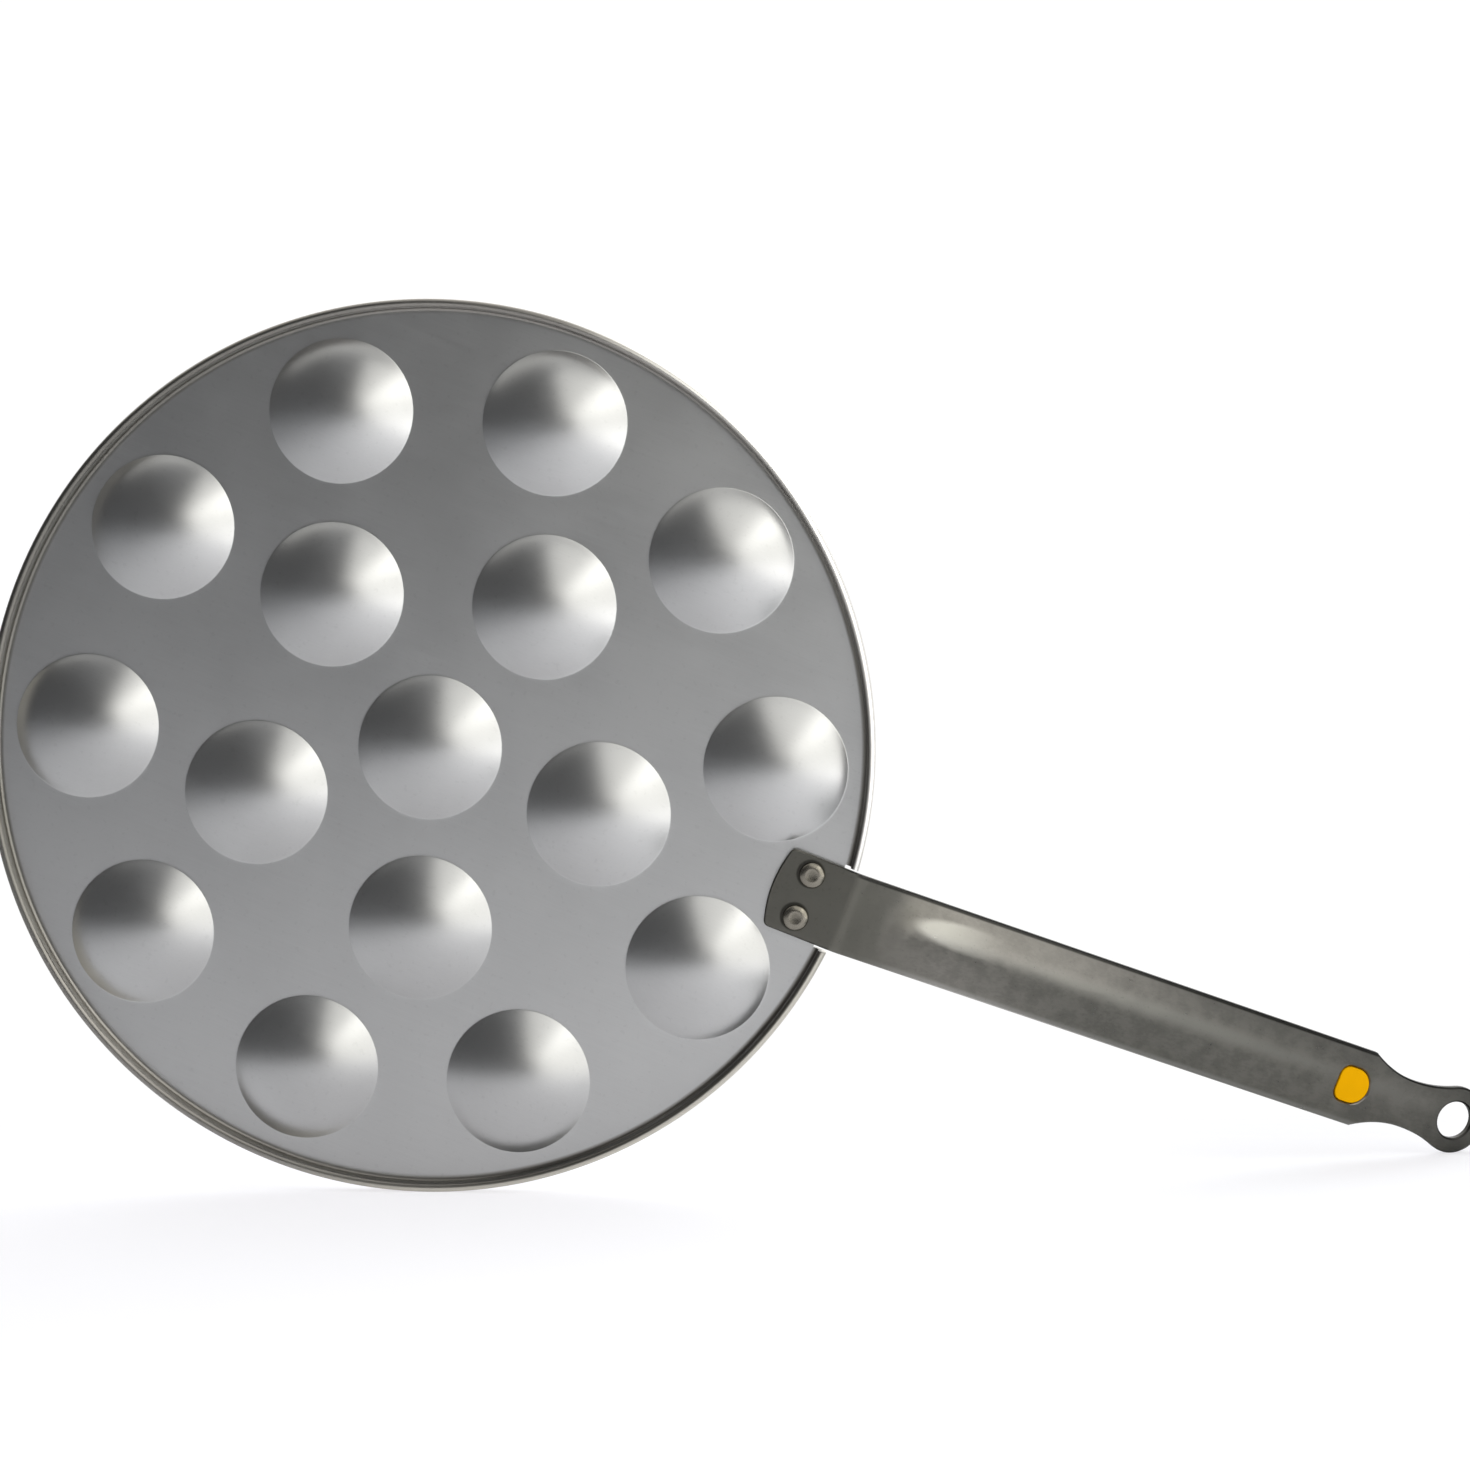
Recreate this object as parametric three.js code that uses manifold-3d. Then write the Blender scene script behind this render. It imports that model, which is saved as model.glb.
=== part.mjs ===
// A poffertjes pan: one pressed steel sheet with sixteen round cavities and a folded rim,
// and a strip handle held to its underside by two rivets.
// Millimetres, +Z up out of the cooking face, +X along the handle.
// The origin is under the middle cavity, on the surface that the pan lies on.
import * as THREE from "three";
import { mergeVertices } from "three/addons/utils/BufferGeometryUtils.js";
import Module from "manifold-3d";

const wasm = await Module();
wasm.setup();

// Sheet and rim
const PAN_DIAMETER = 270;
const SHEET = 2.5;
const RIM_DEPTH = 6; // from the sheet's underside down to the lip
const RIM_BEND = 1.4; // inside radius of the fold
const LIP_ROUND = 1.1;

// Cavities, measured on the underside where they bulge out
const BULGE_DIAMETER = 43.7;
const BULGE_DROP = 6.5;
const BULGE_POLE = 4; // flat that each bulge rests on
const OUTER_RING_INSET = 30; // from the pan's edge to the outer ring
const OUTER_RING_COUNT = 10;
const INNER_RING_RADIUS = 55;
const INNER_RING_COUNT = 5;

// Handle strip, with lengths along the grip from the corner of its bend
const STRIP_WIDTH = 25;
const STRIP = 2.5;
const HANDLE_RISE = THREE.MathUtils.degToRad(24);
const HANDLE_BEND = 12; // radius of the bend, at the middle of the strip
const BEND_OUTSIDE = 1; // from the pan's edge to the corner of the bend
const FLANGE_LENGTH = 22.4; // from the flange's corners to the bend's, where the bulges leave room
const FLANGE_CLEARANCE = 2.4; // from the flange's corners to the nearest bulges
const FLANGE_END_RADIUS = 38;
const NOTCH_CLEARANCE = 1.5; // beside the strip
const GRIP_LENGTH = 190; // as far as the shoulders
const NECK_LENGTH = 36; // from the shoulders to the middle of the eye
const NECK_WIDTH = 15.6;
const NECK_NARROWEST = 17; // past the shoulders
const EYE_DIAMETER = 22;
const EYE_HOLE = 12.2;
const EYE_BLEND = THREE.MathUtils.degToRad(110); // where the neck's curve runs into the eye
const CHANNEL_DEPTH = 2; // pressed down along the grip, so that its underside is rounded
const CHANNEL_START = 16;
const CHANNEL_BEFORE_PLUG = 3;
const CHANNEL_RUN_IN = 16; // length over which it deepens
const CHANNEL_RUN_OUT = 60; // length over which it fades

// Rivets
const RIVET_SHANK = 5;
const RIVET_SPACING = 13.8;
const RIVET_HEAD = 7.8;
const RIVET_HEAD_FLAT = 4;
const RIVET_HEAD_HEIGHT = 1.6; // under the handle
const RIVET_SET_HEIGHT = 1.2; // on the cooking face
const RIVET_HEAD_EDGE = 0.4;

// Plug in its keyed hole
const PLUG_WIDTH = 11.3;
const PLUG_CORNER = 3.2;
const PLUG_SETBACK = 4; // from the shoulders back to the plug's middle
const PLUG_FLANGE = 1.2; // how far its upper edge reaches past the hole
const PLUG_FLANGE_THICKNESS = 1;

// Fits and fineness
const FIT = 0.3;
const RIM_SEGMENTS = 72;
const FOLD_STEPS = 4;
const LIP_STEPS = 1;
const BULGE_SEGMENTS = 20;
const BULGE_STEPS = 3;
const ROUND_SEGMENTS = 16;
const CURVE_STEPS = 8;
const BEND_STEPS = 5;
const CHANNEL_STEPS = 24;
const STRIP_ACROSS = 6;
const CUTTER_REACH = 40; // how far a cutting shape runs past what it cuts

// Places worked out from the sizes above
const PAN_RADIUS = PAN_DIAMETER / 2;
const BULGE_RADIUS = BULGE_DIAMETER / 2;
const UNDERSIDE = BULGE_DROP;
const COOKING_FACE = UNDERSIDE + SHEET;
const OUTER_RING_RADIUS = PAN_RADIUS - OUTER_RING_INSET;
const OUTER_RING_TURN = Math.PI / OUTER_RING_COUNT; // the handle lies between two bulges
const FOLD_AT = PAN_RADIUS - SHEET - RIM_BEND; // where the flat underside ends
const NOTCH_HALF = STRIP_WIDTH / 2 + NOTCH_CLEARANCE;
const NOTCH_AT = Math.sqrt((FOLD_AT - FIT) ** 2 - NOTCH_HALF ** 2); // takes the whole fold away
const BEND_AT = PAN_RADIUS + BEND_OUTSIDE;
const FLANGE_UNDER = UNDERSIDE - STRIP;
const STRIP_MIDDLE = UNDERSIDE - STRIP / 2;
const FLANGE_AT = flangeCorner();
const RIVET_AT = (FLANGE_AT + NOTCH_AT) / 2;
const NECK_AT = GRIP_LENGTH + NECK_NARROWEST;
const EYE_AT = GRIP_LENGTH + NECK_LENGTH;
const PLUG_AT = GRIP_LENGTH - PLUG_SETBACK;
const CHANNEL_END = PLUG_AT - PLUG_WIDTH / 2 - FIT - PLUG_FLANGE - CHANNEL_BEFORE_PLUG;

// Where the flange's corners start: its own length from the bend, or clear of the bulges beside it.
function flangeCorner() {
  const bulgeX = OUTER_RING_RADIUS * Math.cos(OUTER_RING_TURN);
  const bulgeY = OUTER_RING_RADIUS * Math.sin(OUTER_RING_TURN);
  const reach = BULGE_RADIUS + FLANGE_CLEARANCE;
  const beside = bulgeY - STRIP_WIDTH / 2;
  const past = beside < reach ? bulgeX + Math.sqrt(reach ** 2 - beside ** 2) : bulgeX;
  return Math.max(BEND_AT - FLANGE_LENGTH, past);
}

// A closed three.js geometry as a solid that can be joined and cut.
function solid(geometry, matrix = new THREE.Matrix4()) {
  const bare = geometry.clone().applyMatrix4(matrix);
  bare.deleteAttribute("normal");
  bare.deleteAttribute("uv");
  const merged = mergeVertices(bare, 1e-4);
  return new wasm.Manifold(
    new wasm.Mesh({
      numProp: 3,
      vertProperties: merged.attributes.position.array,
      triVerts: new Uint32Array(merged.index.array),
    }),
  );
}

// A solid as a named mesh with flat faces and its own material.
function piece(name, body, colour, roughness, metalness) {
  const { vertProperties, triVerts } = body.getMesh();
  const geometry = new THREE.BufferGeometry();
  geometry.setAttribute("position", new THREE.BufferAttribute(vertProperties, 3));
  geometry.setIndex(new THREE.BufferAttribute(triVerts, 1));
  const flat = geometry.toNonIndexed();
  flat.computeVertexNormals();
  const material = new THREE.MeshStandardMaterial({ color: colour, roughness, metalness });
  const mesh = new THREE.Mesh(flat, material);
  mesh.name = name;
  return mesh;
}

// Evenly spaced values, both ends included.
function spaced(from, to, steps) {
  return Array.from({ length: steps + 1 }, (_, i) => from + ((to - from) * i) / steps);
}

// Points of an arc in [radius, height].
function arc(centreR, centreZ, radius, from, to, steps) {
  return spaced(from, to, steps).map((angle) => [
    centreR + radius * Math.cos(angle),
    centreZ + radius * Math.sin(angle),
  ]);
}

// A shape turned about +Z, from [radius, height] points that run from its foot to its top.
function turned(points, segments) {
  const profile = points.map(([radius, height]) => new THREE.Vector2(radius, height));
  return new THREE.LatheGeometry(profile, segments).rotateX(Math.PI / 2);
}

// An outline in X and Y as a prism between two heights.
function prism(shape, low, high) {
  const options = { depth: high - low, bevelEnabled: false, curveSegments: CURVE_STEPS };
  return new THREE.ExtrudeGeometry(shape, options).translate(0, 0, low);
}

// The sheet with its rim folded down, before the cavities are pressed.
function foldedSheet() {
  const quarter = Math.PI / 2;
  const foldZ = UNDERSIDE - RIM_BEND;
  const lipZ = UNDERSIDE - RIM_DEPTH + LIP_ROUND;
  const innerLipR = PAN_RADIUS - SHEET + LIP_ROUND;
  const outerLipR = PAN_RADIUS - LIP_ROUND;
  const profile = [
    [0, UNDERSIDE],
    ...arc(FOLD_AT, foldZ, RIM_BEND, quarter, 0, FOLD_STEPS),
    ...arc(innerLipR, lipZ, LIP_ROUND, Math.PI, Math.PI + quarter, LIP_STEPS),
    ...arc(outerLipR, lipZ, LIP_ROUND, -quarter, 0, LIP_STEPS),
    ...arc(FOLD_AT, foldZ, RIM_BEND + SHEET, 0, quarter, FOLD_STEPS),
    [0, COOKING_FACE],
  ];
  return solid(turned(profile, RIM_SEGMENTS));
}

// Plan places of the cavities: the middle one, the inner ring and the outer ring.
function cavityPlaces() {
  const ring = (count, radius, turn) =>
    Array.from({ length: count }, (_, i) => {
      const angle = turn + (i * 2 * Math.PI) / count;
      return [radius * Math.cos(angle), radius * Math.sin(angle)];
    });
  return [
    [0, 0],
    ...ring(INNER_RING_COUNT, INNER_RING_RADIUS, 0),
    ...ring(OUTER_RING_COUNT, OUTER_RING_RADIUS, OUTER_RING_TURN),
  ];
}

// The bowl of a sphere below a flat lid, with a flat at its pole.
function bowl(sphereRadius, centreZ, lidZ) {
  const pole = -Math.acos(BULGE_POLE / 2 / sphereRadius);
  const edge = -Math.asin((centreZ - lidZ) / sphereRadius);
  const curve = arc(0, centreZ, sphereRadius, pole, edge, BULGE_STEPS);
  return turned([[0, curve[0][1]], ...curve, [0, lidZ]], BULGE_SEGMENTS);
}

// The pressed sheet: bulges joined below it, cavities cut from above, then the notch and rivet holes.
function panBody() {
  const poleR = BULGE_POLE / 2;
  const centreZ = (BULGE_RADIUS ** 2 + UNDERSIDE ** 2 - poleR ** 2) / (2 * UNDERSIDE);
  const bulgeR = Math.hypot(poleR, centreZ);
  const bulge = bowl(bulgeR, centreZ, UNDERSIDE + SHEET / 2);
  const cavity = bowl(bulgeR - SHEET, centreZ, COOKING_FACE + SHEET / 2);
  const places = cavityPlaces().map(([x, y]) => new THREE.Matrix4().makeTranslation(x, y, 0));
  let body = foldedSheet();
  for (const place of places) body = body.add(solid(bulge, place));
  for (const place of places) body = body.subtract(solid(cavity, place));
  const notch = new THREE.BoxGeometry(CUTTER_REACH, 2 * NOTCH_HALF, CUTTER_REACH);
  notch.translate(NOTCH_AT + CUTTER_REACH / 2, 0, UNDERSIDE);
  return body.subtract(solid(notch)).subtract(rivetHoles());
}

// Places of the two rivets across the flange.
function rivetPlaces() {
  return [-1, 1].map((side) => [RIVET_AT, (side * RIVET_SPACING) / 2]);
}

// Holes for both rivets, right through the sheet and the flange.
function rivetHoles() {
  const radius = RIVET_SHANK / 2 + FIT;
  const drill = new THREE.CylinderGeometry(radius, radius, CUTTER_REACH, ROUND_SEGMENTS);
  drill.rotateX(Math.PI / 2);
  const [near, far] = rivetPlaces().map(([x, y]) =>
    solid(drill, new THREE.Matrix4().makeTranslation(x, y, UNDERSIDE)),
  );
  return near.add(far);
}

// A rivet: a domed head under the flange, a shank, and a lower head set on the cooking face.
function rivet(x, y) {
  const headR = RIVET_HEAD / 2;
  const flatR = RIVET_HEAD_FLAT / 2;
  const shoulderR = (headR + flatR) / 2 + RIVET_HEAD_EDGE;
  const shankR = RIVET_SHANK / 2;
  const footZ = FLANGE_UNDER - RIVET_HEAD_HEIGHT;
  const topZ = COOKING_FACE + RIVET_SET_HEIGHT;
  const profile = [
    [0, footZ],
    [flatR, footZ],
    [shoulderR, footZ + RIVET_HEAD_EDGE],
    [headR, FLANGE_UNDER - RIVET_HEAD_EDGE],
    [headR, FLANGE_UNDER],
    [shankR, FLANGE_UNDER],
    [shankR, COOKING_FACE],
    [headR, COOKING_FACE],
    [shoulderR, topZ - RIVET_HEAD_EDGE],
    [flatR, topZ],
    [0, topZ],
  ];
  return solid(turned(profile, ROUND_SEGMENTS), new THREE.Matrix4().makeTranslation(x, y, 0));
}

// The grip's frame: origin at the corner of the bend, +X along the grip, +Z up out of the strip.
function gripFrame() {
  return new THREE.Matrix4().makeRotationY(-HANDLE_RISE).setPosition(BEND_AT, 0, STRIP_MIDDLE);
}

// Place and slope of the strip's middle line, at a length measured from the corner of the bend.
function stripLine(length) {
  const bendHalf = HANDLE_BEND * Math.tan(HANDLE_RISE / 2);
  if (length <= -bendHalf) {
    return { x: BEND_AT + length, z: STRIP_MIDDLE, slope: 0 };
  }
  if (length >= bendHalf) {
    const x = BEND_AT + length * Math.cos(HANDLE_RISE);
    return { x, z: STRIP_MIDDLE + length * Math.sin(HANDLE_RISE), slope: HANDLE_RISE };
  }
  const slope = (HANDLE_RISE * (length + bendHalf)) / (2 * bendHalf);
  const x = BEND_AT - bendHalf + HANDLE_BEND * Math.sin(slope);
  return { x, z: STRIP_MIDDLE + HANDLE_BEND * (1 - Math.cos(slope)), slope };
}

// How far the strip is pressed down into a channel: across runs from -1 to 1 over its width.
function channelDrop(length, across) {
  const fadeIn = THREE.MathUtils.smoothstep(length, CHANNEL_START, CHANNEL_START + CHANNEL_RUN_IN);
  const fadeOut = THREE.MathUtils.smoothstep(length, CHANNEL_END - CHANNEL_RUN_OUT, CHANNEL_END);
  return CHANNEL_DEPTH * (fadeIn - fadeOut) * (1 - across ** 2);
}

// The strip bent and channelled at its full width, with spare length at both ends.
function bentStrip() {
  const bendHalf = HANDLE_BEND * Math.tan(HANDLE_RISE / 2);
  const lengths = [
    FLANGE_AT - BEND_AT - FLANGE_END_RADIUS / 2,
    ...spaced(-bendHalf, bendHalf, BEND_STEPS),
    ...spaced(CHANNEL_START, CHANNEL_END, CHANNEL_STEPS),
    EYE_AT + EYE_DIAMETER,
  ];
  const steps = lengths.length - 1;
  const strip = new THREE.BoxGeometry(steps, STRIP_WIDTH, STRIP, steps, STRIP_ACROSS, 1);
  const point = strip.attributes.position;
  for (let i = 0; i < point.count; i += 1) {
    const length = lengths[Math.round(point.getX(i) + steps / 2)];
    const line = stripLine(length);
    const height = point.getZ(i) - channelDrop(length, point.getY(i) / (STRIP_WIDTH / 2));
    const x = line.x - height * Math.sin(line.slope);
    point.setXYZ(i, x, point.getY(i), line.z + height * Math.cos(line.slope));
  }
  return solid(strip);
}

// Plan that trims the strip's inner end to a shallow arc.
function flangeOutline() {
  const turn = Math.asin(NOTCH_HALF / FLANGE_END_RADIUS);
  const cornerTurn = Math.asin(STRIP_WIDTH / 2 / FLANGE_END_RADIUS);
  const centreX = FLANGE_AT + FLANGE_END_RADIUS * Math.cos(cornerTurn);
  const far = BEND_AT + EYE_AT + CUTTER_REACH;
  const shape = new THREE.Shape();
  shape.moveTo(far, -NOTCH_HALF);
  shape.lineTo(far, NOTCH_HALF);
  shape.absarc(centreX, 0, FLANGE_END_RADIUS, Math.PI - turn, Math.PI + turn, false);
  shape.closePath();
  return shape;
}

// Outline that trims the strip's outer end, in the grip's frame: shoulders, neck and eye.
function gripOutline() {
  const half = STRIP_WIDTH / 2;
  const neck = NECK_WIDTH / 2;
  const eye = EYE_DIAMETER / 2;
  const meetX = EYE_AT + eye * Math.cos(EYE_BLEND);
  const meetY = eye * Math.sin(EYE_BLEND);
  // The neck's curve leaves along the grip and arrives along the eye, and these two lines cross here.
  const pullX = meetX + (meetY - neck) * Math.tan(EYE_BLEND);
  const hollowX = (GRIP_LENGTH + NECK_AT) / 2;
  const shape = new THREE.Shape();
  shape.moveTo(-BEND_AT, -NOTCH_HALF);
  shape.lineTo(GRIP_LENGTH, -NOTCH_HALF);
  shape.lineTo(GRIP_LENGTH, -half);
  shape.quadraticCurveTo(hollowX, -neck, NECK_AT, -neck);
  shape.quadraticCurveTo(pullX, -neck, meetX, -meetY);
  shape.absarc(EYE_AT, 0, eye, -EYE_BLEND, EYE_BLEND, false);
  shape.quadraticCurveTo(pullX, neck, NECK_AT, neck);
  shape.quadraticCurveTo(hollowX, neck, GRIP_LENGTH, half);
  shape.lineTo(GRIP_LENGTH, NOTCH_HALF);
  shape.lineTo(-BEND_AT, NOTCH_HALF);
  shape.closePath();
  return shape;
}

// Outline of the plug in the grip's frame, grown by a margin: round to the eye, flat to the pan.
function plugOutline(margin) {
  const half = PLUG_WIDTH / 2 + margin;
  const corner = PLUG_CORNER + margin;
  const inset = half - corner;
  const quarter = Math.PI / 2;
  const shape = new THREE.Shape();
  shape.moveTo(PLUG_AT, -half);
  shape.absarc(PLUG_AT, 0, half, -quarter, quarter, false);
  shape.absarc(PLUG_AT - inset, inset, corner, quarter, 2 * quarter, false);
  shape.absarc(PLUG_AT - inset, -inset, corner, 2 * quarter, 3 * quarter, false);
  shape.closePath();
  return shape;
}

// The strip trimmed at both ends, with its rivet holes, plug hole and eye.
function handle() {
  const grip = gripFrame();
  const flangeTrim = solid(prism(flangeOutline(), -CUTTER_REACH, BEND_AT + EYE_AT));
  const gripTrim = solid(prism(gripOutline(), -BEND_AT, BEND_AT), grip);
  const plugHole = solid(prism(plugOutline(FIT), -CUTTER_REACH, CUTTER_REACH), grip);
  const eyeRing = new THREE.Shape().absarc(EYE_AT, 0, EYE_HOLE / 2, 0, 2 * Math.PI, false);
  const eyeHole = solid(prism(eyeRing, -CUTTER_REACH, CUTTER_REACH), grip);
  const trimmed = bentStrip().intersect(flangeTrim).intersect(gripTrim);
  return trimmed.subtract(rivetHoles()).subtract(plugHole).subtract(eyeHole);
}

// The plug: flush under the grip, with a flange that holds it on the upper side.
function plug() {
  const seat = STRIP / 2 + FIT;
  const stem = solid(prism(plugOutline(0), -STRIP / 2, seat + PLUG_FLANGE_THICKNESS), gripFrame());
  const flange = prism(plugOutline(FIT + PLUG_FLANGE), seat, seat + PLUG_FLANGE_THICKNESS);
  return stem.add(solid(flange, gripFrame()));
}

const [nearRivet, farRivet] = rivetPlaces();
const pan = new THREE.Group();
pan.name = "poffertjes_pan";
pan.add(
  piece("pan_body", panBody(), 0x9a9c9d, 0.35, 1),
  piece("handle", handle(), 0x66625b, 0.5, 1),
  piece("rivet_near", rivet(...nearRivet), 0xb0a797, 0.35, 1),
  piece("rivet_far", rivet(...farRivet), 0xb0a797, 0.35, 1),
  piece("marker_plug", plug(), 0xe5ab05, 0.6, 0),
);

export default pan;
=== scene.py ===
"""A poffertjes pan: one pressed steel sheet with sixteen cavities, and a riveted strip handle.

Metres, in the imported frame: +Z up out of the cooking face, +X along the handle, the origin on the surface
that the pan lies on. The camera sees the underside, with the pan propped on its rim and the handle's eye.
"""

from math import asin, atan2, cos, hypot, pi, radians, sin, sqrt, tan

import bmesh
import bpy
from mathutils import Matrix, Vector


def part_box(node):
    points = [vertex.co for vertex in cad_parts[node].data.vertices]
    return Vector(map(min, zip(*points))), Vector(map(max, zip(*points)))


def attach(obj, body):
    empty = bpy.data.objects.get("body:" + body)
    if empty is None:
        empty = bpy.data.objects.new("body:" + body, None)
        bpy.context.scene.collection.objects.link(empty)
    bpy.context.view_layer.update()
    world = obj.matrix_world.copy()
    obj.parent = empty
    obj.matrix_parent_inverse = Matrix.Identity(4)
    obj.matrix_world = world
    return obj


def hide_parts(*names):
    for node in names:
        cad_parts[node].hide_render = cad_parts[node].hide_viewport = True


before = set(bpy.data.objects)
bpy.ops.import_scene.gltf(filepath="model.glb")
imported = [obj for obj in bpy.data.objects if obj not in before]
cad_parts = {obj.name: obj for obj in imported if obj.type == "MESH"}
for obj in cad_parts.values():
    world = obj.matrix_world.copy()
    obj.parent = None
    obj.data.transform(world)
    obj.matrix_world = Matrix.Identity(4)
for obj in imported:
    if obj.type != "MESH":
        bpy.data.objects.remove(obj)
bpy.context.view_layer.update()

MM = 0.001
TOUCHING = 1e-7  # points nearer to each other than this are one point
ON_PLANE = 1e-6  # points nearer to a plane than this lie on it
SHARP = radians(38)  # edges that turn by more than this stay sharp

# How finely the shapes are divided
BULGE_STEPS, CAVITY_STEPS, BOWL_TURN = 18, 16, 72
RIM_TURN = 240
HOLE_TURN, EYE_TURN, RIVET_TURN = 24, 48, 48
GRIP_STEPS, GRIP_ACROSS = 150, 28

# The pressed sheet
PAN_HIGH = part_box("pan_body")[1]
PAN_RADIUS = PAN_HIGH.y
COOKING_FACE = PAN_HIGH.z
SHEET = 2.5 * MM
UNDERSIDE = COOKING_FACE - SHEET
RIM_DEPTH = 6 * MM
RIM_BEND = 1.0 * MM
LIP_ROUND = 1.15 * MM
LIP_AT = UNDERSIDE - RIM_DEPTH + LIP_ROUND
FOLD_AT = PAN_RADIUS - SHEET - RIM_BEND
BULGE_RADIUS = 21.85 * MM
BULGE_FOOT = 0.5 * MM  # rounding where a bulge meets the flat underside
CAVITY_LIP = 2.4 * MM  # rounding where a cavity meets the cooking face
OUTER_RING = PAN_RADIUS - 30 * MM
INNER_RING = 55 * MM
NOTCH_CLEARANCE = 0.9 * MM
LAND = 0.8 * MM  # flat border that keeps the shading of the flats even

# The handle strip
HANDLE_LOW, HANDLE_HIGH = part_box("handle")
STRIP_HALF = HANDLE_HIGH.y
STRIP = SHEET
STRIP_EDGE = 0.45 * MM
FLANGE_UNDER = HANDLE_LOW.z
STRIP_MIDDLE = FLANGE_UNDER + STRIP / 2
HANDLE_RISE = radians(24)
HANDLE_BEND = 6 * MM
BEND_HALF = HANDLE_BEND * tan(HANDLE_RISE / 2)
BEND_AT = PAN_RADIUS + 1 * MM
FLANGE_END_RADIUS = 38 * MM
FLANGE_END_SAG = FLANGE_END_RADIUS - sqrt(FLANGE_END_RADIUS ** 2 - STRIP_HALF ** 2)
FLANGE_AT = HANDLE_LOW.x + FLANGE_END_SAG
FLANGE_CORNER = 1.4 * MM
NOTCH_HALF = STRIP_HALF + NOTCH_CLEARANCE
GRIP_LENGTH = 190 * MM
NECK_AT = GRIP_LENGTH + 17 * MM
NECK_HALF = 7.8 * MM
EYE_AT = GRIP_LENGTH + 36 * MM
EYE_RADIUS = 11 * MM
EYE_HOLE = 6.1 * MM
EYE_BLEND = radians(110)
CHANNEL_DEPTH = 2.3 * MM
CHANNEL_START = 11.5 * MM
CHANNEL_RUN_IN = 9.5 * MM
CHANNEL_RUN_OUT = 148 * MM
CHANNEL_RIDGE = 0.25  # how round the channel's middle is, as a share of half its width
SHADED_CUT_EDGE = "shaded_cut_edge"  # marks the cut edges that get painted shade
NEAR_HOLE = 1 * MM  # a cut edge within this of a hole is the hole's own

# Rivets and plug
RIVET_MIDDLE = sum(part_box("rivet_far"), Vector()) / 2
RIVET_AT, RIVET_SIDE = RIVET_MIDDLE.x, RIVET_MIDDLE.y
NOTCH_AT = 2 * RIVET_AT - FLANGE_AT
RIVET_SHANK = 2.5 * MM
RIVET_HEAD = 3.9 * MM
RIVET_FLAT = 1.9 * MM
RIVET_EDGE = 0.5 * MM
RIVET_DIMPLE = 0.12 * MM
RIVET_SHOULDER = 0.1 * MM
RIVET_CREST = 0.2 * MM
PLUG_AT = GRIP_LENGTH - 4 * MM
PLUG_HALF = 5.65 * MM
PLUG_CORNER = 3.2 * MM
PLUG_GAP = 0.3 * MM
PLUG_FLANGE = 1.2 * MM
PLUG_FLANGE_THICKNESS = 1 * MM
PLUG_EDGE = 0.25 * MM
CHANNEL_END = PLUG_AT - PLUG_HALF - PLUG_GAP - PLUG_FLANGE - 3 * MM

# The camera, and the way that the pan is propped in front of it
CAMERA_AT = Vector((126.0, -134.6, -1201.6)) * MM + Vector((0, 0, UNDERSIDE))
CAMERA_AHEAD = Vector((-0.0342, 0.0806, 0.9962)).normalized()
CAMERA_DOWN = Vector((0.3677, 0.9286, -0.0624))
CAMERA_LENS = 97.96
CAMERA_SENSOR = 36.0
CAMERA_CLIP = 50
CAMERA_PITCH = radians(3)
PROP_HEIGHT = 135.1 * MM  # from the pan's middle down to what its rim stands on

# The steel's grain
STREAK_STRETCH = (1, 40, 40)
SPECK_REACH = (0.62, 0.72)
TONE_REACH = (0.3, 0.7)
STREAKS_IN_TONE = 0.5
PATCH_REACH = (0.6, 1.4)
SPECK_LEVEL = 0.02
STEEL_RELIEF = 0.2 * MM
PLASTIC_RELIEF = 0.1 * MM

# Painted shade and highlights on the sheet's rim
WALL_SHADE = (0.315, 0.30, 0.28, 1)
WALL_SHADE_BY_HANDLE = (0.215, 0.204, 0.184, 1)
WALL_SHADE_OPPOSITE = (0.225, 0.217, 0.198, 1)
PALE_LIP_HIGHLIGHT = (0.62, 0.595, 0.53, 1)
BRIGHT_LIP_HIGHLIGHT = (0.95, 0.93, 0.90, 1)

# Painted shade and highlights on the strip, and a lighter long edge
LIGHTER_EDGE_TONE = (0.34, 0.33, 0.31, 1)
FLANGE_SHADE = (0.118, 0.115, 0.101, 1)
SHADED_SIDE = (0.12, 0.117, 0.106, 1)
STREAK_HIGHLIGHT = (0.335, 0.325, 0.294, 1)
STREAK_HEAD_HIGHLIGHT = (0.42, 0.41, 0.372, 1)
NECK_SHEEN = (0.335, 0.32, 0.295, 1)
EYE_SHADE = (0.115, 0.113, 0.105, 1)
RIVET_SHADOW = (0.03, 0.028, 0.024, 1)
EDGE_SHADE = (0.042, 0.041, 0.038, 1)

# Painted shade on the rivets, and the plug's yellows
DIMPLE_SHADE = (0.13, 0.12, 0.10, 1)
RIVET_FOOT_SHADE = (0.06, 0.055, 0.045, 1)
YELLOW_LOW = (0.81, 0.40, 0.001, 1)
YELLOW_HIGH = (0.85, 0.42, 0.0015, 1)

# The studio's brightness
RIGHT_LIGHT = 1.45
UPPER_LIGHT = 0.92
TOP_LIGHT = 0.72
BACK_LIGHT = 0.64
LAMP_COLOUR = (1.0, 0.993, 0.94)
ROOM_LEVEL = 0.016
ROOM_RISE = 0.24
ROOM_LEFT = 0.09
ROOM_TINT = (0.985, 1.0, 1.025, 1)
BACKDROP = 1.0

# Where the room changes: 1 straight towards a side, 0 square to it
LEFT_REACH = (0.1, 0.45)
FRONT_REACH = (-0.1, 0.1)
BACKDROP_REACH = (0.0, 0.8)
MIRRORED_REACH = (0.15, 0.6)

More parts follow.
